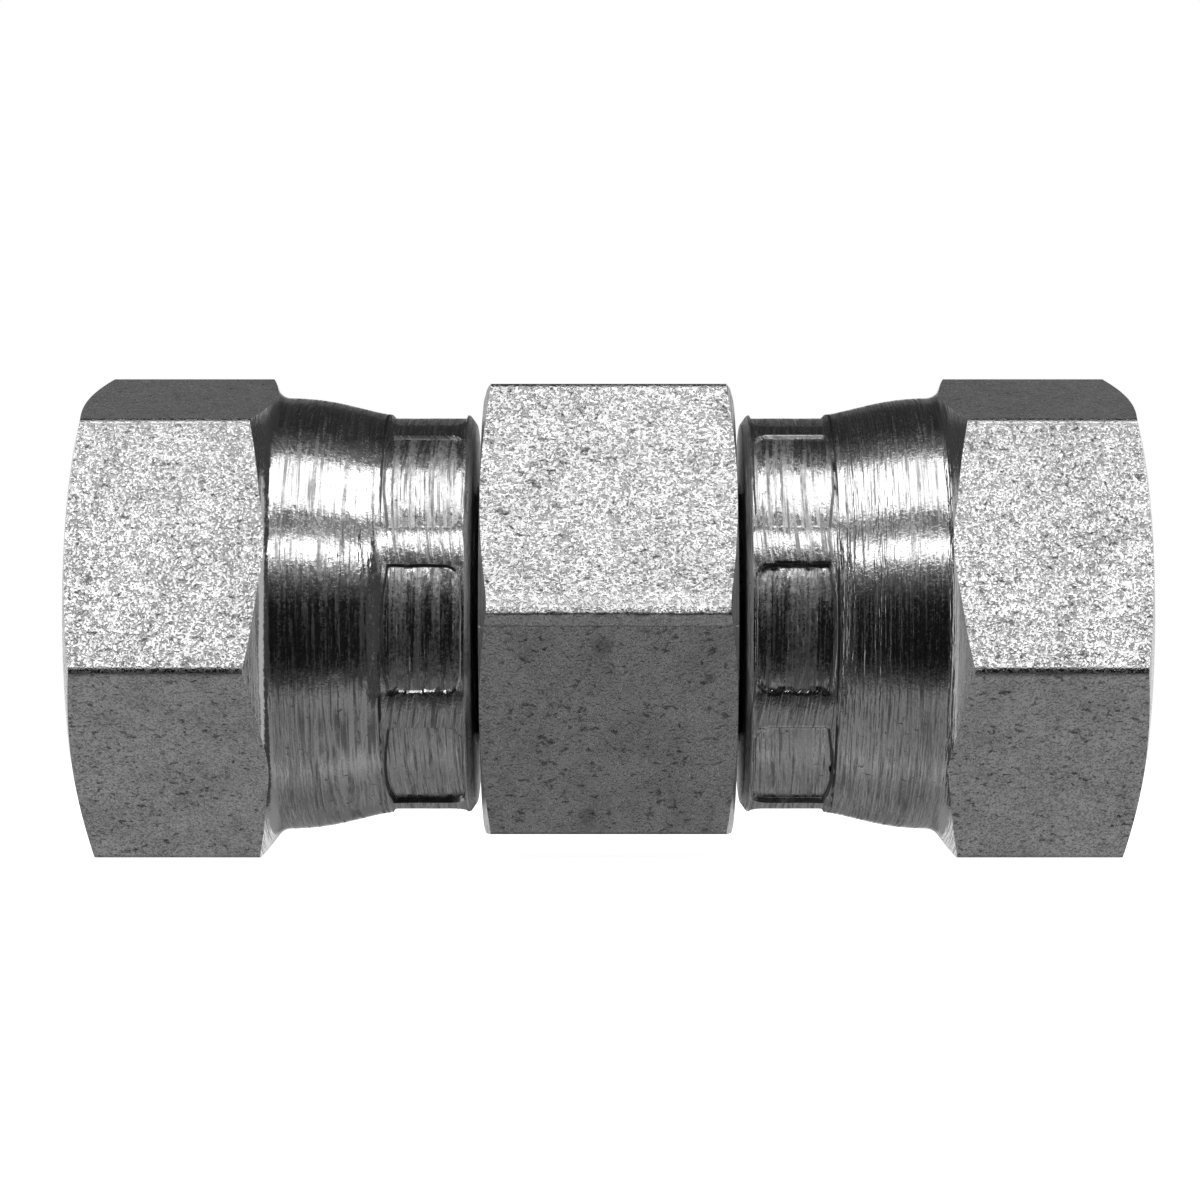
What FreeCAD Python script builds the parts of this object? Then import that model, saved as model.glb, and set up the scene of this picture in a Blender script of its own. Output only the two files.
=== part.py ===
import FreeCAD, Part
import Sketcher
import os
from FreeCAD import Placement, Rotation, Vector

# Swivel union for pipe: a one-piece steel body turned from hexagon bar, and a free-turning
# threaded nut crimped on behind the shoulder at each end of it.
# Millimetres and degrees. The origin is the middle of the union on the flow axis, +X runs along
# the flow axis, +Z is up. "Along" is the distance from the middle, "radius" from the flow axis.

doc = FreeCAD.newDocument("swivel_union")

drivingSizes = [
    # hexagon bar that all three pieces are turned from
    ("acrossFlats", 27.0),
    ("barRounding", 0.66),
    ("bevelAngle", 15.0),
    # union body
    ("bodyHexWidth", 15.2),
    ("bodyBevelInset", 0.1),
    ("flowRadius", 5.75),
    ("neckRadius", 7.35),
    ("neckLength", 8.1),
    ("shoulderRadius", 9.15),
    ("shoulderWidth", 1.2),
    ("noseTipRadius", 6.5),
    ("noseAngle", 30.0),
    # running clearances between the nut and the body
    ("collarGap", 0.5),
    ("collarPlay", 0.5),
    ("neckClearance", 0.65),
    ("shoulderClearance", 0.35),
    ("noseClearance", 0.4),
    # swivel nut, outside
    ("nutLength", 23.75),
    ("nutHexLength", 11.5),
    ("nutBevelInset", 0.45),
    ("hexBackAngle", 22.0),
    ("skirtInset", 0.18),
    ("collarLength", 5.4),
    ("collarEndChamfer", 0.45),
    # how far the crimping bent the skirt in behind the collar
    ("crimpDepth", 1.04),
    ("bentLength", 4.35),
    # swivel nut, inside
    ("innerBendAngle", 60.0),
    ("threadMinorRadius", 9.316),
    ("mouthRadius", 10.6),
    ("mouthAngle", 60.0),
    # marks of the crimping dies round the collar
    ("dieCount", 8),
    ("dieArc", 36.0),
    ("dieDepth", 0.21),
    ("dieLip", 0.57),
    ("dieSideLength", 4.38),
    ("dieBulge", 0.35),
    ("dieCornerRounding", 1.0),
    # how the free nuts stand about the flow axis, and the die marks against a nut's hexagon
    ("nutTurn", 15.0),
    ("dieTurn", 8.25),
]
hexSides = 6
pastMetal = "1"  # how far the outline of a cut runs on outside the metal
eighthTurn = "45 deg"

sheet = doc.addObject("Spreadsheet::Sheet", "sizes")
for row, (alias, value) in enumerate(drivingSizes, start=1):
    sheet.set(f"A{row}", alias)
    sheet.set(f"B{row}", str(value))
    sheet.setAlias(f"B{row}", alias)
doc.recompute()

# places along the axis and radii that follow from the driving sizes
hexFace = "(sizes.bodyHexWidth / 2)"
neckEnd = f"({hexFace} + sizes.neckLength)"
shoulderEnd = f"({neckEnd} + sizes.shoulderWidth)"
noseDrop = "(sizes.shoulderRadius - sizes.noseTipRadius)"
noseTip = f"({shoulderEnd} + {noseDrop} / tan(sizes.noseAngle * 1 deg))"
collarEnd = f"({hexFace} + sizes.collarGap)"
nutFace = f"({collarEnd} + sizes.nutLength)"
hexBack = f"({nutFace} - sizes.nutHexLength)"
skirtRadius = "(sizes.acrossFlats / 2 - sizes.skirtInset)"
collarRadius = f"({skirtRadius} - sizes.crimpDepth)"
dieRadius = f"({collarRadius} - sizes.dieDepth)"
bodyBevelRadius = "(sizes.acrossFlats / 2 - sizes.bodyBevelInset)"
nutBevelRadius = "(sizes.acrossFlats / 2 - sizes.nutBevelInset)"
collarBore = "(sizes.neckRadius + sizes.neckClearance)"
skirtBore = "(sizes.shoulderRadius + sizes.shoulderClearance)"
barCornerRadius = f"(sizes.acrossFlats / 2 / cos(180 deg / {hexSides}))"
overBar = f"({barCornerRadius} + 2 * {pastMetal})"
dieNear = f"({collarEnd} + sizes.dieLip)"
dieFar = f"({dieNear} + sizes.dieSideLength)"
onAxis = "axis"


def sizeOf(expression):
    return float(sheet.evalExpression(expression.replace("sizes.", "")))


def placeOf(across, up):
    return Vector(sizeOf(across), 0 if up == onAxis else sizeOf(up), 0)


def bevelDepth(circleRadius):
    """How far back the bevel on a hexagon's end reaches, measured just outside the bar."""
    return f"(({overBar} - {circleRadius}) * tan(sizes.bevelAngle * 1 deg))"


def originFeature(body, role):
    return next(plane for plane in body.Origin.OriginFeatures if plane.Role == role)


def newSketch(body, label, role):
    sketch = body.newObject("Sketcher::SketchObject", label)
    sketch.AttachmentSupport = [(originFeature(body, role), "")]
    sketch.MapMode = "FlatFace"
    return sketch


def bindPoint(sketch, line, end, across, up):
    """Ties one end of a sketch line to the origin by two expressions."""
    sideways = sketch.addConstraint(
        Sketcher.Constraint("DistanceX", -1, 1, line, end, sizeOf(across)))
    sketch.setExpression(f"Constraints[{sideways}]", across)
    if up == onAxis:
        sketch.addConstraint(Sketcher.Constraint("PointOnObject", line, end, -1))
        return
    upward = sketch.addConstraint(
        Sketcher.Constraint("DistanceY", -1, 1, line, end, sizeOf(up)))
    sketch.setExpression(f"Constraints[{upward}]", up)


def joinArc(sketch, curve, before, after):
    """Joins an arc's ends to the end of one line and the start of another, either way round."""
    start = sketch.getPoint(curve, 1)
    meetsBefore = start.distanceToPoint(sketch.getPoint(before, 2)) < 1e-6
    first, second = (1, 2) if meetsBefore else (2, 1)
    sketch.addConstraint(Sketcher.Constraint("Coincident", curve, first, before, 2))
    sketch.addConstraint(Sketcher.Constraint("Coincident", curve, second, after, 1))


def turnedOutline(body, label, corners):
    """A closed outline of straight sides in the XZ plane, each corner at (along, radius)."""
    sketch = newSketch(body, label, "XZ_Plane")
    places = [placeOf(along, radius) for along, radius in corners]
    count = len(corners)
    for index in range(count):
        sketch.addGeometry(Part.LineSegment(places[index], places[(index + 1) % count]))
    for index in range(count):
        following = (index + 1) % count
        sketch.addConstraint(Sketcher.Constraint("Coincident", index, 2, following, 1))
    for index, (along, radius) in enumerate(corners):
        bindPoint(sketch, index, 1, along, radius)
    return sketch


def turnAway(body, label, sketch):
    """A lathe cut: everything inside the outline goes, all round the flow axis."""
    doc.recompute()
    before = body.Shape.Volume
    groove = body.newObject("PartDesign::Groove", label)
    groove.Profile = sketch
    groove.ReferenceAxis = (sketch, ["H_Axis"])
    groove.Angle = 360
    doc.recompute()
    if not body.Shape.Volume < before:
        raise RuntimeError(f"{label} cut nothing")
    return groove


def hexBar(body, label, start, length):
    """Hexagon bar along X with a corner towards the Y axis and its long edges rounded."""
    bar = body.newObject("PartDesign::AdditivePrism", label)
    bar.Polygon = hexSides
    bar.AttachmentSupport = [(originFeature(body, "YZ_Plane"), "")]
    bar.MapMode = "FlatFace"
    bar.setExpression("Circumradius", barCornerRadius)
    bar.setExpression("Height", length)
    bar.setExpression("AttachmentOffset.Base.z", start)
    doc.recompute()
    longEdges = [f"Edge{number}" for number, edge in enumerate(bar.Shape.Edges, start=1)
                 if abs(edge.tangentAt(edge.FirstParameter).x) > 0.99]
    rounded = body.newObject("PartDesign::Fillet", f"{label}_edges")
    rounded.Base = (bar, longEdges)
    rounded.setExpression("Radius", "sizes.barRounding")
    doc.recompute()
    return rounded


def makeUnionBody():
    body = doc.addObject("PartDesign::Body", "union_body")
    body.Label = "union_body"
    hexBar(body, "body_bar", f"-{noseTip}", f"2 * {noseTip}")
    outside = turnedOutline(body, "end_outline", [
        (f"{hexFace} - {bevelDepth(bodyBevelRadius)}", overBar),
        (hexFace, bodyBevelRadius),
        (hexFace, "sizes.neckRadius"),
        (neckEnd, "sizes.neckRadius"),
        (neckEnd, "sizes.shoulderRadius"),
        (shoulderEnd, "sizes.shoulderRadius"),
        (noseTip, "sizes.noseTipRadius"),
        (f"{noseTip} + {pastMetal}", "sizes.noseTipRadius"),
        (f"{noseTip} + {pastMetal}", overBar),
    ])
    turned = turnAway(body, "turned_end", outside)
    mirrored = body.newObject("PartDesign::Mirrored", "other_end")
    mirrored.Originals = [turned]
    mirrored.MirrorPlane = (originFeature(body, "YZ_Plane"), [""])
    body.Tip = mirrored
    doc.recompute()
    bore = turnedOutline(body, "bore_outline", [
        (f"{noseTip} + {pastMetal}", onAxis),
        (f"{noseTip} + {pastMetal}", "sizes.flowRadius"),
        (f"-{noseTip} - {pastMetal}", "sizes.flowRadius"),
        (f"-{noseTip} - {pastMetal}", onAxis),
    ])
    turnAway(body, "flow_bore", bore)
    return body


def makeNutBlank(label):
    """The nut turned from bar, in its place at the +X end, before the dies mark its collar."""
    body = doc.addObject("PartDesign::Body", f"{label}_blank")
    hexBar(body, f"{label}_bar", collarEnd, "sizes.nutLength")
    backRise = f"(({overBar} - {skirtRadius}) * tan(sizes.hexBackAngle * 1 deg))"
    skirtEnd = f"({hexBack} - sizes.skirtInset * tan(sizes.hexBackAngle * 1 deg))"
    bentStart = f"({collarEnd} + sizes.collarLength)"
    chamfer = "sizes.collarEndChamfer"
    outside = turnedOutline(body, f"{label}_outline", [
        (f"{collarEnd} - {pastMetal}", f"{collarRadius} - {chamfer}"),
        (collarEnd, f"{collarRadius} - {chamfer}"),
        (f"{collarEnd} + {chamfer}", collarRadius),
        (bentStart, collarRadius),
        (f"{bentStart} + sizes.bentLength", skirtRadius),
        (skirtEnd, skirtRadius),
        (f"{skirtEnd} + {backRise}", overBar),
        (f"{collarEnd} - {pastMetal}", overBar),
    ])
    turnAway(body, f"{label}_turned", outside)
    bevel = turnedOutline(body, f"{label}_bevel_outline", [
        (nutFace, nutBevelRadius),
        (f"{nutFace} + {pastMetal}", nutBevelRadius),
        (f"{nutFace} + {pastMetal}", overBar),
        (f"{nutFace} - {bevelDepth(nutBevelRadius)}", overBar),
    ])
    turnAway(body, f"{label}_bevel", bevel)
    mouthDepth = ("((sizes.mouthRadius - sizes.threadMinorRadius)"
                  " / tan(sizes.mouthAngle * 1 deg))")
    threadStart = f"({noseTip} + sizes.noseClearance)"
    innerBendEnd = (f"({neckEnd} - sizes.collarPlay"
                    " + sizes.shoulderClearance / tan(sizes.innerBendAngle * 1 deg))")
    innerBendStart = (f"({innerBendEnd} - ({skirtBore} - {collarBore})"
                      " / tan(sizes.innerBendAngle * 1 deg))")
    inside = turnedOutline(body, f"{label}_bore_outline", [
        (f"{collarEnd} - {pastMetal}", onAxis),
        (f"{collarEnd} - {pastMetal}", collarBore),
        (innerBendStart, collarBore),
        (innerBendEnd, skirtBore),
        (threadStart, skirtBore),
        (threadStart, "sizes.threadMinorRadius"),
        (f"{nutFace} - {mouthDepth}", "sizes.threadMinorRadius"),
        (nutFace, "sizes.mouthRadius"),
        (f"{nutFace} + {pastMetal}", "sizes.mouthRadius"),
        (f"{nutFace} + {pastMetal}", onAxis),
    ])
    turnAway(body, f"{label}_bored", inside)
    return body


def dieOutline(body, label):
    """Plan of one die: two rounded corners at the collar's end, a bulged edge at the skirt."""
    sketch = newSketch(body, label, "XY_Plane")
    sketch.setExpression("AttachmentOffset.Base.z", f"{dieRadius} - {pastMetal}")
    side = f"({collarRadius} * sin(sizes.dieArc / 2 * 1 deg))"
    corner = "sizes.dieCornerRounding"
    near, far = dieNear, dieFar
    ends = [
        ((near, f"{side} - {corner}"), (near, f"{corner} - {side}")),
        ((f"{near} + {corner}", f"-{side}"), (far, f"-{side}")),
        ((far, side), (f"{near} + {corner}", side)),
    ]
    for line, (start, finish) in enumerate(ends):
        sketch.addGeometry(Part.LineSegment(placeOf(*start), placeOf(*finish)))
        bindPoint(sketch, line, 1, *start)
        bindPoint(sketch, line, 2, *finish)
    inset = f"{corner} * (1 - cos({eighthTurn}))"
    bulgeRadius = f"(({side} ^ 2 + sizes.dieBulge ^ 2) / 2 / sizes.dieBulge)"
    arcs = [
        (0, 1, (f"{near} + {inset}", f"{inset} - {side}"), corner),
        (1, 2, (f"{far} + sizes.dieBulge", onAxis), bulgeRadius),
        (2, 0, (f"{near} + {inset}", f"{side} - {inset}"), corner),
    ]
    for before, after, middle, radius in arcs:
        curve = sketch.addGeometry(Part.Arc(sketch.getPoint(before, 2), placeOf(*middle),
                                            sketch.getPoint(after, 1)))
        joinArc(sketch, curve, before, after)
        bound = sketch.addConstraint(Sketcher.Constraint("Radius", curve, sizeOf(radius)))
        sketch.setExpression(f"Constraints[{bound}]", radius)
    return sketch


def makeDies(label, turn):
    """The ring of crimping dies as it stands when closed, each with a hollow face."""
    body = doc.addObject("PartDesign::Body", f"{label}_dies")
    block = body.newObject("PartDesign::Pad", f"{label}_die")
    block.Profile = dieOutline(body, f"{label}_die_outline")
    block.setExpression("Length", f"{skirtRadius} - {dieRadius} + 2 * {pastMetal}")
    ring = body.newObject("PartDesign::PolarPattern", f"{label}_die_ring")
    ring.Originals = [block]
    ring.Axis = (originFeature(body, "X_Axis"), [""])
    ring.Angle = 360
    ring.setExpression("Occurrences", "sizes.dieCount")
    body.Tip = ring
    doc.recompute()
    hollow = turnedOutline(body, f"{label}_die_face", [
        (f"{dieNear} - {pastMetal}", onAxis),
        (f"{dieNear} - {pastMetal}", dieRadius),
        (f"{dieFar} + sizes.dieBulge + {pastMetal}", dieRadius),
        (f"{dieFar} + sizes.dieBulge + {pastMetal}", onAxis),
    ])
    turnAway(body, f"{label}_die_hollow", hollow)
    body.Placement = Placement(Vector(), Rotation(Vector(1, 0, 0), turn))
    return body


def makeNut(label, endForEnd, dieTurn):
    """One crimped nut: the blank, less the ring of dies pressed into its collar."""
    nut = doc.addObject("Part::Cut", label)
    nut.Base = makeNutBlank(label)
    nut.Tool = makeDies(label, dieTurn)
    nut.Label = label
    aboutAxis = Rotation(Vector(1, 0, 0), sizeOf("sizes.nutTurn"))
    nut.Placement = Placement(Vector(), aboutAxis * endForEnd)
    doc.recompute()
    if not nut.Shape.Volume < nut.Base.Shape.Volume:
        raise RuntimeError(f"the dies left no mark on {label}")
    return nut


asTurned = Rotation()
turnedRound = Rotation(Vector(0, 0, 1), 180)
subParts = [
    makeUnionBody(),
    makeNut("right_swivel_nut", asTurned, -sizeOf("sizes.dieTurn")),
    makeNut("left_swivel_nut", turnedRound, sizeOf("sizes.dieTurn")),
]
doc.recompute()

for item in doc.Objects:
    if "Invalid" in item.State or "Error" in item.State:
        raise RuntimeError(f"{item.Name} failed: {item.State}")
os.makedirs("parts", exist_ok=True)
for part in subParts:
    if part.Shape.isNull() or not part.Shape.isValid() or len(part.Shape.Solids) != 1:
        raise RuntimeError(f"{part.Label} isn't one valid solid")
    box = part.Shape.BoundBox
    print(part.Label, "volume", round(part.Shape.Volume, 1), "x", round(box.XMin, 3),
          round(box.XMax, 3), "y", round(box.YMin, 3), round(box.YMax, 3), "z",
          round(box.ZMin, 3), round(box.ZMax, 3))
    part.Shape.exportStep(f"parts/{part.Label}.step")
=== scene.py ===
import math

import bmesh
import bpy
from mathutils import Matrix, Vector, noise


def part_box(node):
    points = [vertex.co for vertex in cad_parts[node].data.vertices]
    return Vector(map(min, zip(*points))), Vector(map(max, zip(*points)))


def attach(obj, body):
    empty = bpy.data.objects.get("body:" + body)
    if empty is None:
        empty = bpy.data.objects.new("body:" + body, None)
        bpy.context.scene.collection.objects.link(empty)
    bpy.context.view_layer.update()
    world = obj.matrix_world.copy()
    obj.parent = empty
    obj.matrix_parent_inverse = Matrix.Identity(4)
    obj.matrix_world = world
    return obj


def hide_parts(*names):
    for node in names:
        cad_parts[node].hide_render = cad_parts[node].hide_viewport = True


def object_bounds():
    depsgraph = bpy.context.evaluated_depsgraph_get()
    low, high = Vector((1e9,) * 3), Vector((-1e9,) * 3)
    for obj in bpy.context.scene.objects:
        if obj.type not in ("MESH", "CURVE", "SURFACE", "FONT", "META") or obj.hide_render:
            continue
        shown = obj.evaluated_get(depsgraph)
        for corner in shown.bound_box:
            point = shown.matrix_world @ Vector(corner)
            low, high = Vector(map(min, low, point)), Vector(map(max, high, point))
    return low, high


# Swivel union. Lengths are millimetres until a mesh is finished, places run along X from the middle.
mm = 0.001
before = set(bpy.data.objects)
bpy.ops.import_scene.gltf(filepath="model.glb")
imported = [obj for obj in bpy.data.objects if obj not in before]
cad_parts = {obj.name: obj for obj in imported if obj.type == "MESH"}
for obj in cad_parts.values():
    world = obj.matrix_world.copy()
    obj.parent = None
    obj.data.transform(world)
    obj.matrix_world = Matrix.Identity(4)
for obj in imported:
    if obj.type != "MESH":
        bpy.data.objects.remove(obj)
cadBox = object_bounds()
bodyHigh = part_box("union_body")[1]
nutLow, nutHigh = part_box("right_swivel_nut")
noseTip = bodyHigh.x / mm
flatRadius = bodyHigh.z / mm                    # from the axis to a hexagon's flat
collarEnd, nutFace = nutLow.x / mm, nutHigh.x / mm
cornerRadius = flatRadius / math.cos(math.radians(30))
blankRadius = cornerRadius + 0.6                # round blank that the flats are cut from
weld = 1e-4                                     # points nearer than this are made one
arcTurn, arcLength = 9, 0.4                     # most degrees and millimetres between an arc's points
sharpFold = 28                                  # an edge that folds by more degrees stays sharp
margin = 0.01                                   # keeps a test clear of the points on its own limit
print("frame loaded")

bodyBar = {
    "hexWidth": 15.2,
    "bevelCircle": 13.4,
    "bevelAngle": 15,
    "edgeRounding": 0.66,
    "cornerAngle": 0,
    "neckRadius": 7.35,
    "neckFillet": 0.8,
    "shoulderStart": 15.7,
    "shoulderEnd": 16.9,
    "shoulderRadius": 9.15,
    "shoulderFillet": 0.2,
    "shoulderRounding": (0.15, 0.3),
    "noseRadius": 6.5,
    "noseRounding": 0.12,
    "boreRadius": 5.75,
    "steps": 360,
}
bruise = {                          # a knock on the body's near corner; heights are above its line
    "turn": -2.3,                   # how far that line is turned about the axis
    "top": 1.21,                    # where its facet starts on the upper flat
    "angle": 12.3,                  # the facet's normal above the line
    "lean": 5,                      # how much further its shading leans
    "lipEnd": -0.74,                # where the lip under the facet runs out on the lower flat
    "ragged": 0.24,                 # how far the edges wander
    "rubbed": ((0.2, 0.42), (1.1, 1.34)),   # the facet's bright part: its lower and its upper soft edge
    "calm": 0.6,                    # share of the bar's relief that is rubbed off there
    "cleaned": 0.5,                 # and of its dirt
    "ridge": (0.06, 0.25),          # half width of the ridge under it that is painted dark, from place to place
    # how dark the ridge is painted
    "ridgeDarkness": 0.95,
    "lipShadeLine": (0.02, 0.08),        # half width of the painted shadow line where the lip ends, and its soft edge
    # how dark that painted shadow is
    "lipShade": 0.4,
    "smudges": [(-0.4, -2.6, 0.9), (-1.2, -12.4, 0.8), (5.9, -4.3, 0.5)],   # along, up, radius
    "smudgeDirt": 0.45,
}
nutBar = {
    "hexBack": nutFace - 11.5,
    "hexBackAngle": 22,
    "bevelCircle": 13.05,
    "bevelAngle": 15,
    "edgeRounding": 0.66,
    "cornerAngle": -15,
    "skirtRadius": 13.32,
    "skirtFillet": 1.1,
    "collarRadius": 12.28,
    "collarLength": 5.4,
    "collarChamfer": (0.42, 0.62),  # along the axis and across it
    "collarRounding": 0.25,
    "bendLength": 4.35,
    "bendFillet": 7,
    "easeFillet": 15.5,
    "collarBore": 8.0,
    "boreRounding": 0.25,
    "skirtBore": 9.5,
    "innerBend": (14.53, 15.4),
    "innerRounding": 0.4,
    "steps": 480,
}
dieMarks = {
    "count": 8,
    "arc": 36,
    "radius": 12.07,
    "turn": -6.75,
    "wander": [0, 1.8, 1.2, 0.4, -0.8, 0.6, -0.5, -2],   # how far each die closed off its place
    "pressed": [                    # radius that each die left at its lower side, middle and upper side
        (11.9, 11.87, 11.84), (12.2, 12.29, 12.16), (12.11, 12.07, 12.03), (12.02, 12.07, 12.12),
        (12.13, 12.07, 12.01), (12.07, 12.07, 12.07), (12.04, 12.07, 12.1), (11.98, 12.07, 12.16)],
    "ridge": [                      # how far the ridge stands out or falls in below and above each mark
        (-0.25, -0.25), (-0.06, 0.03), (0, 0), (0, 0), (0, 0), (0, 0), (0, 0), (0, 0.03)],
    "line": [                       # how dark the painted shade in each mark's step is at its lower and upper side
        (0.05, 1), (0.05, 0.75), (0.4, 0.6), (0.6, 0.4),
        (0.6, 0.6), (0.5, 0.6), (0.6, 0.3), (0.9, 0.1)],
    "lipShadeLine": 0.2,                 # and along the collar's lip
    "farShadeLine": 0.8,                 # and on the side of the hexagon
    "lip": 0.6,                     # plain rim between the collar's end and the marks
    "length": 4.28,
    "bulge": 0.35,                  # how much longer a mark is at its middle
    "cornerRounding": 1.0,
    "wall": 0.045,                  # half the width of the step round a mark
    "ragged": 0.05,
    "crown": 0.015,                 # how much a ridge falls off beside a mark
    "crownWidth": 0.95,
    "roughness": 0.008,
    "fade": (0.5, 1.1),             # lengths over which the ridges' rise comes in and runs out
    "overrun": 0.9,                 # how far past the marks it reaches
    "row": 0.13,                    # how finely the collar is divided along the axis
    "drawn": 0.2,                   # how near an edge a point has to be to be drawn to it
}
dieEnd = collarEnd + dieMarks["lip"] + dieMarks["length"] + dieMarks["bulge"]
thread = {
    "pitch": 1.814,
    "minorRadius": 9.316,
    "majorRadius": 10.478,
    "start": noseTip + 0.4,
    "mouthRadius": 10.6,
    "mouthAngle": 60,
    "sharpHeight": 1.742,
    "fadeStart": 0.3,               # from its inner end to where it starts to deepen
    "fadeTurns": 1.6,
    "rowHeight": 0.17,
}


def slope(degrees):
    return math.tan(math.radians(degrees))


def between(stops, place):
    # the value at a place, straight between the named ones
    for (start, low), (end, high) in zip(stops, stops[1:]):
        if place <= end:
            return low + (high - low) * (place - start) / (end - start)
    return stops[-1][1]


def roundedChain(corners):
    # corners are (along, radius, rounding); a rounded one becomes a tangent arc
    points = []
    for index, (along, radius, rounding) in enumerate(corners):
        here = Vector((along, radius))
        if not rounding:
            points.append(here)
            continue
        back = (Vector(corners[index - 1][:2]) - here).normalized()
        ahead = (Vector(corners[(index + 1) % len(corners)][:2]) - here).normalized()
        half = back.angle(ahead) / 2
        centre = here + (back + ahead).normalized() * rounding / math.sin(half)
        first = here + back * rounding / math.tan(half) - centre
        sweep = math.pi - 2 * half
        steps = max(3, math.ceil(sweep / math.radians(arcTurn)),
                    math.ceil(rounding * sweep / arcLength))
        side = 1 if back.cross(ahead) < 0 else -1
        for step in range(steps + 1):
            swing = side * sweep * step / steps
            points.append(centre + Vector((
                first.x * math.cos(swing) - first.y * math.sin(swing),
                first.x * math.sin(swing) + first.y * math.cos(swing))))
    return points


def turnOnLathe(corners, steps, denseZones=()):
    # a closed outline is spun through a sixth of a turn, and that is copied round, so all are alike;
    # a dense zone is (from, to, least radius, most radius, row)
    bm = bmesh.new()
    ring = [bm.verts.new((point.x, 0, point.y)) for point in roundedChain(corners)]
    for first, second in zip(ring, ring[1:] + ring[:1]):
        bm.edges.new((first, second))
    for near, far, least, most, row in denseZones:
        for edge in bm.edges[:]:
            middle = (edge.verts[0].co + edge.verts[1].co) / 2
            if near < middle.x < far and least < middle.z < most:
                cuts = math.ceil(edge.calc_length() / row) - 1
                if cuts > 0:
                    bmesh.ops.subdivide_edges(bm, edges=[edge], cuts=cuts)
    bmesh.ops.spin(bm, geom=bm.verts[:] + bm.edges[:], cent=(0, 0, 0), axis=(1, 0, 0),
                   dvec=(0, 0, 0), angle=math.radians(60), steps=steps // 6)
    sector = bm.verts[:] + bm.edges[:] + bm.faces[:]
    for turn in range(1, 6):
        copied = bmesh.ops.duplicate(bm, geom=sector)["geom"]
        bmesh.ops.rotate(bm, verts=[item for item in copied if isinstance(item, bmesh.types.BMVert)],
                         cent=(0, 0, 0), matrix=Matrix.Rotation(math.radians(60 * turn), 3, "X"))
    bmesh.ops.remove_doubles(bm, verts=bm.verts, dist=weld)
    return bm


def planeAway(bar, angle, distance):
    # takes off what stands beyond a plane whose normal is at that angle above the camera's side
    outward = Vector((0, -math.cos(math.radians(angle)), math.sin(math.radians(angle))))
    cut = bmesh.ops.bisect_plane(bar, geom=bar.verts[:] + bar.edges[:] + bar.faces[:], dist=weld,
                                 plane_co=outward * distance, plane_no=outward, clear_outer=True)
    rim = [item for item in cut["geom_cut"] if isinstance(item, bmesh.types.BMEdge)]
    bmesh.ops.contextual_create(bar, geom=rim)


def bruiseNearCorner(bar):
    # a long knock has turned the near corner into a facet, and pushed a lip down over the lower flat
    lean = math.radians(bruise["turn"])
    sight = Vector((0, -math.cos(lean), math.sin(lean)))
    above = Vector((0, math.sin(lean), math.cos(lean)))
    upper, lower = math.radians(30) - lean, math.radians(30) + lean
    topReach = (flatRadius - bruise["top"] * math.sin(upper)) / math.cos(upper)
    tilt = math.radians(bruise["angle"])
    distance = topReach * math.cos(tilt) + bruise["top"] * math.sin(tilt)
    planeAway(bar, bruise["angle"] + bruise["turn"], distance)
    ridge = (distance * math.cos(lower) - flatRadius * math.cos(tilt)) / math.sin(tilt + lower)
    bmesh.ops.bisect_plane(bar, geom=bar.verts[:] + bar.edges[:] + bar.faces[:], dist=weld,
                           plane_co=above * bruise["lipEnd"], plane_no=above)

    def isAt(vert, height):
        # on a long edge of the facet
        return abs(vert.co.dot(above) - height) < 3 * margin and vert.co.dot(sight) > flatRadius + 1

    for edge in bar.edges:
        if all(isAt(vert, bruise["top"]) for vert in edge.verts):
            edge.smooth = False             # the facet's upper edge, crisp like its lower one
    pushed = sight * math.tan(tilt) - above
    for vert in bar.verts:
        if isAt(vert, ridge):
            vert.co += pushed * ridge


def isFlat(face):
    # a face of the bar's own, either on a flat or in a corner's rounding
    return abs(face.normal.x) < 0.05 and face.calc_center_median().yz.length > flatRadius - 1


def cutHexagon(bm, cornerAngle, rounding, near, far, bruised=False):
    # the bar is cut in a mesh of its own, which is quicker, and then joined on again
    def isBar(face):
        middle = face.calc_center_median()
        return near < middle.x < far and middle.yz.length > flatRadius - 1

    bar = bm.copy()
    bmesh.ops.delete(bar, geom=[face for face in bar.faces if not isBar(face)], context="FACES")
    bmesh.ops.delete(bm, geom=[face for face in bm.faces if isBar(face)], context="FACES")
    for side in range(6):
        planeAway(bar, cornerAngle + 30 + 60 * side, flatRadius)
    if bruised:
        bruiseNearCorner(bar)
    arcCentre = (flatRadius - rounding) / math.cos(math.radians(30))
    for side in range(1 if bruised else 0, 6):
        for swing in (0, -10, 10, -20, 20, -5, 5, -15, 15, -25, 25):    # narrow flats round a corner
            planeAway(bar, cornerAngle + 60 * side + swing,
                      arcCentre * math.cos(math.radians(swing)) + rounding)
    mesh = bpy.data.meshes.new("cut bar")
    bar.to_mesh(mesh)
    bar.free()
    bm.from_mesh(mesh)
    bpy.data.meshes.remove(mesh)
    bmesh.ops.remove_doubles(bm, verts=bm.verts, dist=weld)
    slivers = [edge for edge in bm.edges if edge.is_boundary]     # left open beside a knocked edge
    bmesh.ops.holes_fill(bm, edges=slivers, sides=4)


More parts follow.
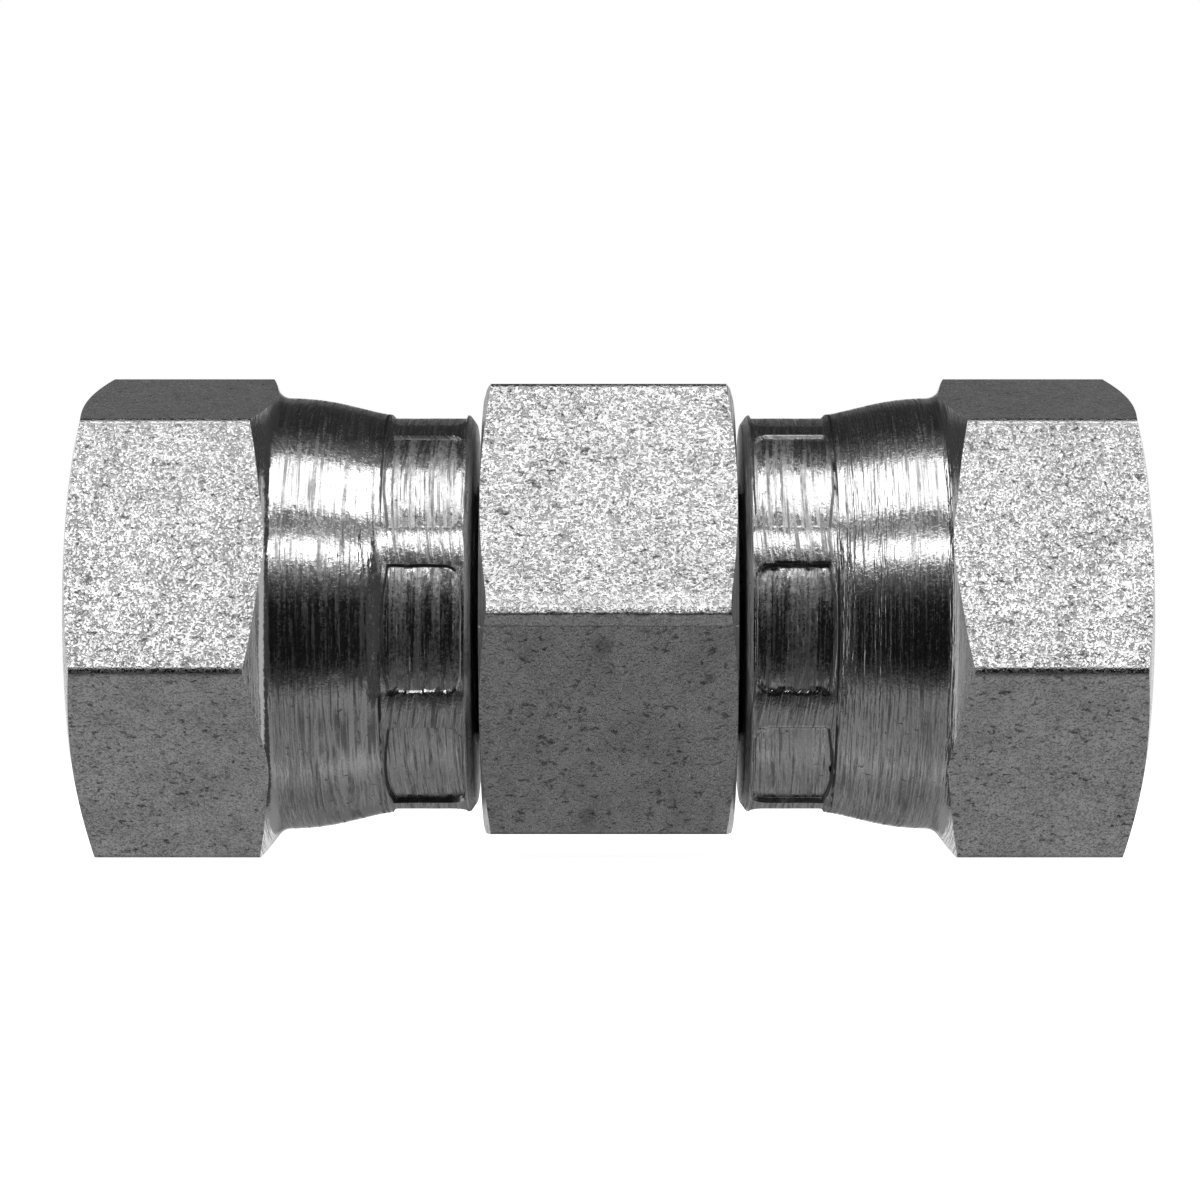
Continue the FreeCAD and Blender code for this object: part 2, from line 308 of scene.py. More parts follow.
def finishPiece(bm, name, node, body, materials, materialOf):
    for face in bm.faces:
        face.smooth = True
        face.material_index = materialOf(face)
    for edge in bm.edges:
        if len(edge.link_faces) != 2 or edge.calc_face_angle(0) >= math.radians(sharpFold):
            edge.smooth = False
    bmesh.ops.scale(bm, vec=(mm, mm, mm), verts=bm.verts)
    bmesh.ops.recalc_face_normals(bm, faces=bm.faces)
    mesh = bpy.data.meshes.new(name)
    bm.to_mesh(mesh)
    bm.free()
    for material in materials:
        mesh.materials.append(material)
    piece = bpy.data.objects.new(name, mesh)
    bpy.context.scene.collection.objects.link(piece)
    weigh = piece.modifiers.new("even shading", "WEIGHTED_NORMAL")
    weigh.keep_sharp = True
    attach(piece, body)
    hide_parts(node)
    print(name, "made with", len(mesh.polygons), "faces")


def makeUnionBody(materials):
    size = bodyBar
    hexFace = size["hexWidth"] / 2
    bevel = (blankRadius - size["bevelCircle"]) * slope(size["bevelAngle"])
    oneEnd = [
        (hexFace - bevel, blankRadius, 0),
        (hexFace, size["bevelCircle"], 0),
        (hexFace, size["neckRadius"], size["neckFillet"]),
        (size["shoulderStart"], size["neckRadius"], size["shoulderFillet"]),
        (size["shoulderStart"], size["shoulderRadius"], size["shoulderRounding"][0]),
        (size["shoulderEnd"], size["shoulderRadius"], size["shoulderRounding"][1]),
        (noseTip, size["noseRadius"], size["noseRounding"]),
        (noseTip, size["boreRadius"], size["noseRounding"]),
    ]
    otherEnd = [(-along, radius, rounding) for along, radius, rounding in reversed(oneEnd)]
    bm = turnOnLathe(oneEnd + otherEnd, size["steps"])
    cutHexagon(bm, size["cornerAngle"], size["edgeRounding"], -hexFace - margin, hexFace + margin,
               bruised=True)

    def materialOf(face):
        # the first is the bar's, on the hexagon, and the second is for what was turned
        return 0 if isFlat(face) and abs(face.calc_center_median().x) < hexFace else 1

    finishPiece(bm, "union_body_turned", "union_body", "union", materials, materialOf)


def dieMiddle(index):
    return dieMarks["turn"] + 360 / dieMarks["count"] * index + dieMarks["wander"][index]


def dieAt(along, angle):
    # how far inside a die's mark a place of the collar is, negative outside, the radius that the die
    # left there, and how dark the painted shade is on the nearest part of its outline
    size = dieMarks
    side = math.radians(size["arc"] / 2) * size["radius"]
    near = collarEnd + size["lip"]
    corner = size["cornerRounding"]
    best = (-9, size["radius"], 0)
    for index in range(size["count"]):
        swing = math.radians((angle - dieMiddle(index) + 180) % 360 - 180) * size["radius"]
        across = abs(swing)
        if across > side + 1:
            continue
        share = max(-1, min(1, swing / side))
        low, middle, high = size["pressed"][index]
        pressed = middle + share * (high - low) / 2 + share ** 2 * ((high + low) / 2 - middle)
        far = near + size["length"] + size["bulge"] * (1 - share ** 2)
        inside, line = min((along - near, size["lipShadeLine"]), (far - along, size["farShadeLine"]),
                           (side - across, size["line"][index][swing > 0]))
        if along < near + corner and across > side - corner:
            inside = min(inside, corner - math.hypot(near + corner - along,
                                                     across - side + corner))
        if inside > best[0]:
            best = (inside, pressed, line)
    return best[0] + size["ragged"] * noise.noise(Vector((along, angle / 5, 0))), *best[1:]


def pressDies(bm):
    # the dies push the collar in to their own radius; points near a mark's edge are drawn to it
    size = dieMarks
    marked = bm.verts.layers.float.new("dieMark")     # 0 away from the dies, 1 on an edge, 2 inside
    lineShadeLayer = bm.verts.layers.float.new("dieLineShade")      # how dark the painted shade is in the nearest outline
    ridges = [(dieMiddle(index) + turn * size["arc"] / 2, size["ridge"][index][turn > 0])
              for index in range(size["count"]) for turn in (-1, 1)]
    first = ridges[0][0]
    ridges.append((first + 360, size["ridge"][0][0]))
    last = dieEnd + size["overrun"]
    fadeIn, fadeOut = size["fade"]
    step = 0.02                                       # over which the outline's direction is felt
    rowAcross = math.radians(360 / nutBar["steps"])
    for vert in bm.verts:
        radius = vert.co.yz.length
        if not (collarEnd + 0.05 < vert.co.x < last and radius > size["radius"] - 0.8):
            continue                                  # not on the outside of the collar
        angle = math.degrees(math.atan2(vert.co.z, -vert.co.y))
        inside, pressed, line = dieAt(vert.co.x, angle)
        if abs(inside) < size["drawn"]:
            alongSlope = (dieAt(vert.co.x + step, angle)[0] - inside) / step
            acrossSlope = (dieAt(vert.co.x, angle + math.degrees(step / radius))[0] - inside) / step
            if abs(inside) < 0.95 * max(size["row"] * abs(alongSlope),
                                        rowAcross * radius * abs(acrossSlope)):
                # one of the two rows nearest to the edge, so it goes to its own side of the step
                wanted = math.copysign(size["wall"], inside)
                move = (wanted - inside) / max(0.4, alongSlope ** 2 + acrossSlope ** 2)
                vert.co.x += move * alongSlope
                angle += math.degrees(move * acrossSlope / radius)
                inside = wanted
        vert[marked] = min(2, max(0, 1 + inside))
        vert[lineShadeLayer] = line
        radius -= size["crown"] * max(0, 1 - abs(inside) / size["crownWidth"]) ** 2
        onCollar = max(0, min(1, (vert.co.x - collarEnd) / fadeIn, (last - vert.co.x) / fadeOut))
        radius += onCollar * between(ridges, (angle - first) % 360 + first)
        radius += (pressed - radius) * min(1, max(0, 0.5 + inside / 2 / size["wall"]))
        radius += size["roughness"] * noise.noise(vert.co * 0.9)
        vert.co.y = -radius * math.cos(math.radians(angle))
        vert.co.z = radius * math.sin(math.radians(angle))


def cutThread(bm, side):
    # right-hand thread of 55 degree form, at either end of the union
    size = thread
    middle = (size["minorRadius"] + size["majorRadius"]) / 2
    for vert in bm.verts:
        radius = vert.co.yz.length
        if not (size["start"] - margin < vert.co.x <= nutFace + margin
                and radius < size["mouthRadius"] + margin):
            continue
        turns = math.atan2(vert.co.z, vert.co.y) / (2 * math.pi)
        phase = (side * vert.co.x / size["pitch"] - turns) % 1
        groove = middle + size["sharpHeight"] * (0.5 - 2 * abs(phase - 0.5))
        runIn = (vert.co.x - size["start"] - size["fadeStart"]) / size["pitch"] / size["fadeTurns"]
        deepest = size["minorRadius"] + min(1, max(0, runIn)) * (
            size["majorRadius"] - size["minorRadius"])
        wanted = max(radius, min(groove, deepest))
        vert.co.yz = vert.co.yz * wanted / radius


def makeNut(name, node, body, side, materials):
    size = nutBar
    rise = slope(size["hexBackAngle"])
    bevel = (blankRadius - size["bevelCircle"]) * slope(size["bevelAngle"])
    collarCorner = collarEnd + size["collarLength"]
    mouthDepth = (thread["mouthRadius"] - thread["minorRadius"]) / slope(thread["mouthAngle"])
    bendStart, bendEnd = size["innerBend"]
    chamferAlong, chamferAcross = size["collarChamfer"]
    corners = [
        (collarEnd, size["collarBore"], size["boreRounding"]),
        (collarEnd, size["collarRadius"] - chamferAcross, size["collarRounding"]),
        (collarEnd + chamferAlong, size["collarRadius"], size["collarRounding"]),
        (collarCorner, size["collarRadius"], size["bendFillet"]),
        (collarCorner + size["bendLength"], size["skirtRadius"], size["easeFillet"]),
        (size["hexBack"] + (size["skirtRadius"] - flatRadius) * rise, size["skirtRadius"],
         size["skirtFillet"]),
        (size["hexBack"] + (blankRadius - flatRadius) * rise, blankRadius, 0),
        (nutFace - bevel, blankRadius, 0),
        (nutFace, size["bevelCircle"], 0),
        (nutFace, thread["mouthRadius"], 0),
        (nutFace - mouthDepth, thread["minorRadius"], 0),
        (thread["start"], thread["minorRadius"], 0),
        (thread["start"], size["skirtBore"], 0),
        (bendEnd, size["skirtBore"], size["innerRounding"]),
        (bendStart, size["collarBore"], size["innerRounding"]),
    ]
    bm = turnOnLathe(corners, size["steps"], denseZones=[
        (collarEnd + 0.1, dieEnd + 0.5, size["collarRadius"] - 0.3, blankRadius, dieMarks["row"]),
        (dieEnd + 0.5, size["hexBack"] - 1, size["collarRadius"], blankRadius, 0.4),
        (thread["start"] + margin, nutFace, 0, thread["mouthRadius"], thread["rowHeight"]),
    ])
    cutHexagon(bm, size["cornerAngle"], size["edgeRounding"], size["hexBack"] - 0.6,
               nutFace + margin)
    pressDies(bm)
    cutThread(bm, side)
    if side < 0:
        bmesh.ops.scale(bm, vec=(-1, 1, 1), verts=bm.verts)

    def materialOf(face):
        # the third is for the thread and the bores
        middle = face.calc_center_median()
        if middle.yz.length < thread["mouthRadius"] and abs(middle.x) < nutFace - margin:
            return 2
        return 0 if isFlat(face) and abs(middle.x) > size["hexBack"] - 0.3 else 1

    finishPiece(bm, name, node, body, materials, materialOf)


def addNode(tree, kind, **settings):
    node = tree.nodes.new(kind)
    for setting, value in settings.items():
        setattr(node, setting, value)
    return node


def calc(tree, operation, *values):
    node = addNode(tree, "ShaderNodeMath", operation=operation)
    for index, value in enumerate(values):
        if isinstance(value, bpy.types.NodeSocket):
            tree.links.new(value, node.inputs[index])
        else:
            node.inputs[index].default_value = value
    return node.outputs[0]


def plus(tree, *values):
    return calc(tree, "ADD", *values)


def minus(tree, *values):
    return calc(tree, "SUBTRACT", *values)


def times(tree, *values):
    return calc(tree, "MULTIPLY", *values)


def most(tree, *values):
    return calc(tree, "MAXIMUM", *values)


def gapOf(tree, first, second):
    return calc(tree, "ABSOLUTE", minus(tree, first, second))


def ramp(tree, value, low, high, toLow=0.0, toHigh=1.0, kind="SMOOTHSTEP"):
    node = addNode(tree, "ShaderNodeMapRange", interpolation_type=kind)
    tree.links.new(value, node.inputs["Value"])
    for name, number in (("From Min", low), ("From Max", high), ("To Min", toLow), ("To Max", toHigh)):
        if isinstance(number, bpy.types.NodeSocket):
            tree.links.new(number, node.inputs[name])
        else:
            node.inputs[name].default_value = number
    return node.outputs["Result"]


def stretched(tree, vector, x, y, z):
    node = addNode(tree, "ShaderNodeVectorMath", operation="MULTIPLY")
    tree.links.new(vector, node.inputs[0])
    node.inputs[1].default_value = (x, y, z)
    return node.outputs[0]


def partsOf(tree, vector):
    node = addNode(tree, "ShaderNodeSeparateXYZ")
    tree.links.new(vector, node.inputs[0])
    return node.outputs


def reachAlong(tree, vector, direction):
    node = addNode(tree, "ShaderNodeVectorMath", operation="DOT_PRODUCT")
    tree.links.new(vector, node.inputs[0])
    node.inputs[1].default_value = direction
    return node.outputs["Value"]


def cloud(tree, vector, scale, detail=2.0, roughness=0.5, distortion=0.0):
    node = addNode(tree, "ShaderNodeTexNoise")
    tree.links.new(vector, node.inputs["Vector"])
    if isinstance(scale, bpy.types.NodeSocket):
        tree.links.new(scale, node.inputs["Scale"])
    else:
        node.inputs["Scale"].default_value = scale
    node.inputs["Detail"].default_value = detail
    node.inputs["Roughness"].default_value = roughness
    node.inputs["Distortion"].default_value = distortion
    return node.outputs["Fac"]


def newGroup(name, inputs, outputs):
    tree = bpy.data.node_groups.new(name, "ShaderNodeTree")
    for label, kind, value in inputs:
        socket = tree.interface.new_socket(name=label, in_out="INPUT", socket_type=kind)
        if value is not None:
            socket.default_value = value
    for label in outputs:
        tree.interface.new_socket(name=label, in_out="OUTPUT", socket_type="NodeSocketFloat")
    return tree, tree.nodes.new("NodeGroupInput"), tree.nodes.new("NodeGroupOutput")


grainPattern = {                    # limits are in a noise's own range, 0 to 1
    "wander": 0.25,
    "furrow": 0.11,                 # half width of a furrow
    "patchScale": 0.7,              # patches of weaker furrows, against the grain's own scale
    "weakest": 0.25,
    "speckScale": 1.6,              # specks, also against the grain's scale
    "speck": (0.34, 0.45),
    "furrowDepth": 0.5,
    "pitScale": 0.8,
    "pit": 0.78,                    # where pits would start with no share of them
    "shareTakes": 0.3,              # how much lower they start with the full share
    "patchTakes": 0.2,              # and in a patch that is full of them
    "pitEdge": 0.12,
    "stain": (0.38, 0.68),
    "meanRelief": 0.35,
}
linesPattern = {                    # a noise's scale along and round the piece, detail and roughness
    "slant": 1.3,                   # lines on a facing end against those on a straight length
    "steady": (1, 1.2, 1.5, 0.6),
    "broken": (1.6, 13, 1.5, 0.55),
    "brokenShare": 0.35,
    "groove": (0.36, 0.64),
    "thin": (1.9, 2.5, 1.5, 0.6),
    "streak": (0.5, 0.62),
    "patchy": (0.6, 7, 3.0, 0.65),
    "patch": (0.36, 0.6, 0.3, 1.0),
    "wide": (0.62, 0.8, 1.0, 0.5),
    "band": (0.4, 0.58),
}


def makePlatedGrain():
    # a drawn and plated surface: small bright grains parted by dull furrows, with pits here and there
    pattern = grainPattern
    tree, given, made = newGroup("platedGrain", [
        ("Position", "NodeSocketVector", None),
        ("Grain", "NodeSocketFloat", 0.4),
        ("Pit share", "NodeSocketFloat", 0.3),
    ], ["Relief", "Furrows", "Pits", "Stain"])
    position = given.outputs["Position"]
    fine = calc(tree, "DIVIDE", 1.0, given.outputs["Grain"])
    worms = cloud(tree, position, fine, 1.0, 0.5, pattern["wander"])
    furrow = ramp(tree, gapOf(tree, worms, 0.5), 0.0, pattern["furrow"], 1.0, 0.0)
    strength = cloud(tree, position, times(tree, fine, pattern["patchScale"]), 1.0)
    furrow = times(tree, furrow, ramp(tree, strength, 0.35, 0.65, pattern["weakest"], 1.0))
    grains = cloud(tree, position, times(tree, fine, pattern["speckScale"]), 1.0, 0.5)
    furrow = most(tree, furrow, ramp(tree, grains, *pattern["speck"], 1.0, 0.0))
    tree.links.new(furrow, made.inputs["Furrows"])
    tree.links.new(minus(tree, grains, times(tree, furrow, pattern["furrowDepth"])),
                   made.inputs["Relief"])
    spots = cloud(tree, stretched(tree, position, 0.7, 1, 1), times(tree, fine, pattern["pitScale"]),
                  2, 0.6, 0.3)
    patches = cloud(tree, position, 0.35, 2, 0.5)
    edge = minus(tree, pattern["pit"], times(tree, given.outputs["Pit share"], pattern["shareTakes"]))
    edge = minus(tree, edge, times(tree, patches, pattern["patchTakes"]))
    tree.links.new(ramp(tree, spots, edge, plus(tree, edge, pattern["pitEdge"])), made.inputs["Pits"])
    tree.links.new(ramp(tree, cloud(tree, position, 0.4, 5, 0.7), *pattern["stain"]),
                   made.inputs["Stain"])
    return tree


def makeTurningLines():
    # the tool's grooves round the axis, no two of the same depth, torn streaks and wide dull bands
    pattern = linesPattern
    tree, given, made = newGroup("turningLines", [
        ("Position", "NodeSocketVector", None),
        ("Spacing", "NodeSocketFloat", 0.27),
    ], ["Grooves", "Streaks", "Bands"])
    parts = partsOf(tree, given.outputs["Position"])
    radius = calc(tree, "SQRT", plus(tree, calc(tree, "POWER", parts["Y"], 2.0),
                                     calc(tree, "POWER", parts["Z"], 2.0)))
    along = plus(tree, parts["X"], times(tree, radius, pattern["slant"]))
    along = calc(tree, "DIVIDE", along, given.outputs["Spacing"])
    around = addNode(tree, "ShaderNodeCombineXYZ")
    tree.links.new(along, around.inputs["X"])
    tree.links.new(calc(tree, "DIVIDE", parts["Y"], radius), around.inputs["Y"])
    tree.links.new(calc(tree, "DIVIDE", parts["Z"], radius), around.inputs["Z"])

    def noiseOf(kind):
        alongScale, roundScale, detail, roughness = pattern[kind]
        place = stretched(tree, around.outputs[0], alongScale, roundScale, roundScale)
        return cloud(tree, place, 1.0, detail, roughness)

    mixed = plus(tree, times(tree, noiseOf("steady"), 1 - pattern["brokenShare"]),
                 times(tree, noiseOf("broken"), pattern["brokenShare"]))
    tree.links.new(ramp(tree, mixed, *pattern["groove"]), made.inputs["Grooves"])
    streaks = times(tree, ramp(tree, noiseOf("thin"), *pattern["streak"]),
                    ramp(tree, noiseOf("patchy"), *pattern["patch"]))
    tree.links.new(streaks, made.inputs["Streaks"])
    tree.links.new(ramp(tree, noiseOf("wide"), *pattern["band"]), made.inputs["Bands"])
    return tree


def makeHexEdges():
    # how near a point of a hexagon is to one of its edges, worn unevenly
    tree, given, made = newGroup("hexEdges", [
        ("Position", "NodeSocketVector", None),
        ("Corner angle", "NodeSocketFloat", 0.0),
        ("Width", "NodeSocketFloat", 0.3),
    ], ["Edge"])
    parts = partsOf(tree, given.outputs["Position"])
    angle = calc(tree, "ARCTAN2", parts["Z"], times(tree, parts["Y"], -1.0))
    angle = minus(tree, angle, given.outputs["Corner angle"])
    away = times(tree, calc(tree, "PINGPONG", angle, math.radians(30)), cornerRadius)
    ragged = minus(tree, cloud(tree, given.outputs["Position"], 3.0, 3, 0.6), 0.5)
    away = plus(tree, away, times(tree, ragged, 0.5))
    tree.links.new(ramp(tree, away, 0.0, given.outputs["Width"], 1.0, 0.0), made.inputs["Edge"])
    return tree


def newSteel(name):
    material = bpy.data.materials.new(name)
    material.use_nodes = True
    tree = material.node_tree
    shader = next(node for node in tree.nodes if node.type == "BSDF_PRINCIPLED")
    shader.inputs["Metallic"].default_value = 1.0
    coordinates = addNode(tree, "ShaderNodeTexCoord")
    return material, tree, shader, stretched(tree, coordinates.outputs["Object"], 1000, 1000, 1000)


def useGroup(tree, group, position, **values):
    node = addNode(tree, "ShaderNodeGroup", node_tree=group)
    tree.links.new(position, node.inputs["Position"])
    for label, value in values.items():
        node.inputs[label.replace("_", " ")].default_value = value
    return node.outputs


def shadeOf(tree, mask, clean, dark, shader):
    # grey steel, and a faintly warm dark where the mask is 1; the mask holds dirt, and on the body's
    # lip line and the nuts' collars also painted shade
    blend = addNode(tree, "ShaderNodeMix", data_type="RGBA")
    tree.links.new(mask, blend.inputs["Factor"])
    blend.inputs[6].default_value = (clean, clean, clean, 1)
    blend.inputs[7].default_value = (dark, dark, dark * 0.98, 1)
    tree.links.new(blend.outputs[2], shader.inputs["Base Color"])


def reliefOf(tree, height, depth, shader):
    # depth is what a height of 1 stands out, in millimetres
    bump = addNode(tree, "ShaderNodeBump")
    bump.inputs["Distance"].default_value = depth * mm
    tree.links.new(height, bump.inputs["Height"])
    tree.links.new(bump.outputs["Normal"], shader.inputs["Normal"])


barFinish = {
    "bodyGrain": 0.3,
    "bodyGrainDepth": 0.037,
    "nutGrain": 0.25,
    "nutGrainDepth": 0.014,
    "furrowDullness": 0.42,         # how much rougher a furrow is than the grains
    "furrowDirt": 0.14,
    "stain": 0.2,
    "pitShare": 0.36,
    "pitDirt": 0.6,
    "edgeWidth": 0.3,
    "edgeDirt": 0.35,
    "clean": 0.8,
    "dark": 0.12,
    "roughness": 0.13,
    "dirtAndShadeDullness": 0.2,
}
turnedFinish = {
    "grooveSpacing": 0.31,
    "grooveDepth": 0.02,
    "grain": 0.3,
    "grainShare": 0.15,
    "furrowDullness": 0.12,
    "pitShare": 0.1,
    "pitDirt": 0.7,
    "clean": 0.78,
    "dark": 0.06,
    "roughness": 0.09,
    "dirtAndShadeDullness": 0.3,
    "pressedRoughness": (0.11, 0.27),   # inside the dies' marks, from band to band
    "pressedDepth": 1.6,            # how much deeper the tool's lines look there
    "streakDirt": 0.55,
    "streakDullness": 0.07,
    "endDullness": 0.2,             # how much rougher the facing ends in the gaps are
    "crease": (13.5, 0.06, 0.12),   # ring of painted shade in the bend where the skirt starts: its place, half width and edge
    "creaseShade": 0.95,
    "outline": (0.05, 0.14),        # inner and outer half width of the painted shade line round a die's mark
}
threadFinish = {
    "grooveSpacing": 0.2,
    "grooveDepth": 0.003,
    "streakDirt": 0.5,
    "clean": 0.7,
    "dark": 0.3,
    "roughness": 0.3,
}


def makeBarSteel(name, cornerAngle, grainSize, depth, grain, edges, bruised=False):
    finish = barFinish
    material, tree, shader, position = newSteel(name)
    crystals = useGroup(tree, grain, position, Grain=grainSize, Pit_share=finish["pitShare"])
    worn = useGroup(tree, edges, position, Corner_angle=math.radians(cornerAngle),
                    Width=finish["edgeWidth"])
    dirtAndShade = most(tree, times(tree, worn["Edge"], finish["edgeDirt"]),
                times(tree, crystals["Pits"], finish["pitDirt"]))
    dirtAndShade = plus(tree, dirtAndShade, times(tree, crystals["Stain"], finish["stain"]))
    relief, furrows = crystals["Relief"], crystals["Furrows"]
    if bruised:
        dirtAndShade, relief, furrows = bruiseFinish(tree, position, dirtAndShade, relief, furrows, depth)
    hollow = times(tree, calc(tree, "POWER", furrows, 3.0), finish["furrowDirt"])
    dirtAndShade = plus(tree, dirtAndShade, hollow)
    shadeOf(tree, dirtAndShade, finish["clean"], finish["dark"], shader)
    rough = plus(tree, finish["roughness"], times(tree, dirtAndShade, finish["dirtAndShadeDullness"]))
    rough = plus(tree, rough, times(tree, furrows, finish["furrowDullness"]))
    tree.links.new(rough, shader.inputs["Roughness"])
    reliefOf(tree, relief, depth, shader)
    return material


def smudgeOn(tree, position, along, up, radius):
    # a soft smudge of dirt on the lower flat, with an uneven edge
    parts = partsOf(tree, position)
    across = calc(tree, "POWER", minus(tree, parts["X"], along), 2.0)
    above = calc(tree, "POWER", minus(tree, parts["Z"], up), 2.0)
    away = calc(tree, "SQRT", plus(tree, across, above))
    ragged = times(tree, cloud(tree, position, 1.8, 4, 0.65), radius * 1.4)
    return ramp(tree, plus(tree, away, ragged), radius, radius * 1.8, bruise["smudgeDirt"], 0.0)


def bruiseFinish(tree, position, dirtAndShade, relief, furrows, depth):
    # the body's bruised corner: a rubbed bright facet over a ridge painted dark and ragged, a painted
    # shadow line where the lip ends, and smudges below
    lean = math.radians(bruise["turn"])
    above = reachAlong(tree, position, (0, math.sin(lean), math.cos(lean)))
    sight = reachAlong(tree, position, (0, -math.cos(lean), math.sin(lean)))
    isNear = calc(tree, "GREATER_THAN", sight, flatRadius)
    ragged = minus(tree, cloud(tree, position, 1.6, 4, 0.65), 0.5)
    up = plus(tree, above, times(tree, ragged, bruise["ragged"]))
    start, end = bruise["rubbed"]
    rubbed = times(tree, ramp(tree, up, *start), ramp(tree, up, *end, 1.0, 0.0))
    rubbed = times(tree, rubbed, isNear)
    lipEnd = bruise["lipEnd"]
    lip = times(tree, ramp(tree, up, lipEnd, lipEnd + 0.1), ramp(tree, up, -0.2, 0, 0.6, 0.0))
    width = cloud(tree, stretched(tree, position, 0.8, 0, 0), 1.0, 3, 0.7)
    width = ramp(tree, width, 0.35, 0.65, *bruise["ridge"])
    # the ridge under the facet is painted dark
    ridge = ramp(tree, calc(tree, "ABSOLUTE", up), 0.0, width, 1.0, 0.0)
    ridge = times(tree, times(tree, ridge, isNear), bruise["ridgeDarkness"])
    # painted shadow along the line where the pushed lip ends
    lipShadeLine = ramp(tree, gapOf(tree, up, lipEnd), *bruise["lipShadeLine"], bruise["lipShade"], 0.0)
    cleaner = minus(tree, 1.0, most(tree, times(tree, rubbed, bruise["cleaned"]), lip))
    dirtAndShade = most(tree, times(tree, dirtAndShade, cleaner), ridge)
    dirtAndShade = most(tree, dirtAndShade, times(tree, lipShadeLine, isNear))
    for smudge in bruise["smudges"]:
        dirtAndShade = most(tree, dirtAndShade, smudgeOn(tree, position, *smudge))
    rise = bruise["top"] * slope(bruise["lean"]) / depth
    lifted = times(tree, ramp(tree, above, 0.0, bruise["top"], rise, 0.0, kind="LINEAR"), isNear)
    calm = minus(tree, 1.0, times(tree, rubbed, bruise["calm"]))
    mean = grainPattern["meanRelief"]
    relief = plus(tree, times(tree, minus(tree, relief, mean), calm), mean)
    return dirtAndShade, plus(tree, relief, lifted), times(tree, furrows, cleaner)


def makeTurnedSteel(name, grain, lines):
    finish = turnedFinish
    material, tree, shader, position = newSteel(name)
    grooves = useGroup(tree, lines, position, Spacing=finish["grooveSpacing"])
    crystals = useGroup(tree, grain, position, Grain=finish["grain"], Pit_share=finish["pitShare"])
    mark = addNode(tree, "ShaderNodeAttribute", attribute_name="dieMark").outputs["Fac"]
    line = addNode(tree, "ShaderNodeAttribute", attribute_name="dieLineShade").outputs["Fac"]
    outline = ramp(tree, gapOf(tree, mark, 1.0), *finish["outline"], 1.0, 0.0)
    ragged = ramp(tree, cloud(tree, position, 1.2, 3, 0.6), 0.3, 0.5, 0.75, 1.0)
    along = calc(tree, "ABSOLUTE", partsOf(tree, position)["X"])
    onSkirt = ramp(tree, along, nutBar["hexBack"] - 1.0, nutBar["hexBack"] - 0.75, 1.0, 0.0)
    streaks = times(tree, grooves["Streaks"], onSkirt)
    pits = times(tree, times(tree, crystals["Pits"], finish["pitDirt"]), onSkirt)
    dirtAndShade = most(tree, times(tree, streaks, finish["streakDirt"]), pits)
    # a ring of painted shade in the bend where the collar turns up into the skirt
    place, half, soft = finish["crease"]
    crease = ramp(tree, gapOf(tree, along, place), half, soft, finish["creaseShade"], 0.0)
    dirtAndShade = most(tree, dirtAndShade, times(tree, crease, ramp(tree, grooves["Grooves"], 0, 0.6)))
    # painted shade in the step round each die's mark, darker on the sides that face away from the light
    dirtAndShade = most(tree, dirtAndShade, times(tree, outline, times(tree, ragged, line)))
    shadeOf(tree, dirtAndShade, finish["clean"], finish["dark"], shader)
    banded = ramp(tree, grooves["Bands"], 0, 1, *finish["pressedRoughness"])
    rough = ramp(tree, mark, 0.95, 1.05, finish["roughness"], banded)
    rough = plus(tree, rough, times(tree, dirtAndShade, finish["dirtAndShadeDullness"]))
    rough = plus(tree, rough, times(tree, streaks, finish["streakDullness"]))
    rough = plus(tree, rough, times(tree, crystals["Furrows"], finish["furrowDullness"]))
    rough = plus(tree, rough, ramp(tree, along, collarEnd + 0.3, collarEnd + 0.5,
                                   finish["endDullness"], 0.0))
    tree.links.new(rough, shader.inputs["Roughness"])
    pressed = ramp(tree, mark, 1.0, 1.15, 1.0, finish["pressedDepth"])
    height = plus(tree, times(tree, grooves["Grooves"], pressed),
                  times(tree, crystals["Relief"], finish["grainShare"]))
    reliefOf(tree, height, finish["grooveDepth"], shader)
    return material


def makeThreadSteel(name, lines):
    finish = threadFinish
    material, tree, shader, position = newSteel(name)
    grooves = useGroup(tree, lines, position, Spacing=finish["grooveSpacing"])
    dirtAndShade = times(tree, grooves["Streaks"], finish["streakDirt"])
    shadeOf(tree, dirtAndShade, finish["clean"], finish["dark"], shader)
    shader.inputs["Roughness"].default_value = finish["roughness"]
    reliefOf(tree, grooves["Grooves"], finish["grooveDepth"], shader)
    return material


grainGroup = makePlatedGrain()
linesGroup = makeTurningLines()
edgesGroup = makeHexEdges()
bodySteel = makeBarSteel("plated bar of the body", bodyBar["cornerAngle"], barFinish["bodyGrain"],
                         barFinish["bodyGrainDepth"], grainGroup, edgesGroup, bruised=True)
nutSteel = makeBarSteel("plated bar of the nuts", nutBar["cornerAngle"], barFinish["nutGrain"],
                        barFinish["nutGrainDepth"], grainGroup, edgesGroup)
turnedSteel = makeTurnedSteel("plated turned steel", grainGroup, linesGroup)
threadSteel = makeThreadSteel("plated thread", linesGroup)
print("materials made")

makeUnionBody([bodySteel, turnedSteel])
nutMaterials = [nutSteel, turnedSteel, threadSteel]
makeNut("right_nut_crimped", "right_swivel_nut", "right_nut", 1, nutMaterials)
makeNut("left_nut_crimped", "left_swivel_nut", "left_nut", -1, nutMaterials)

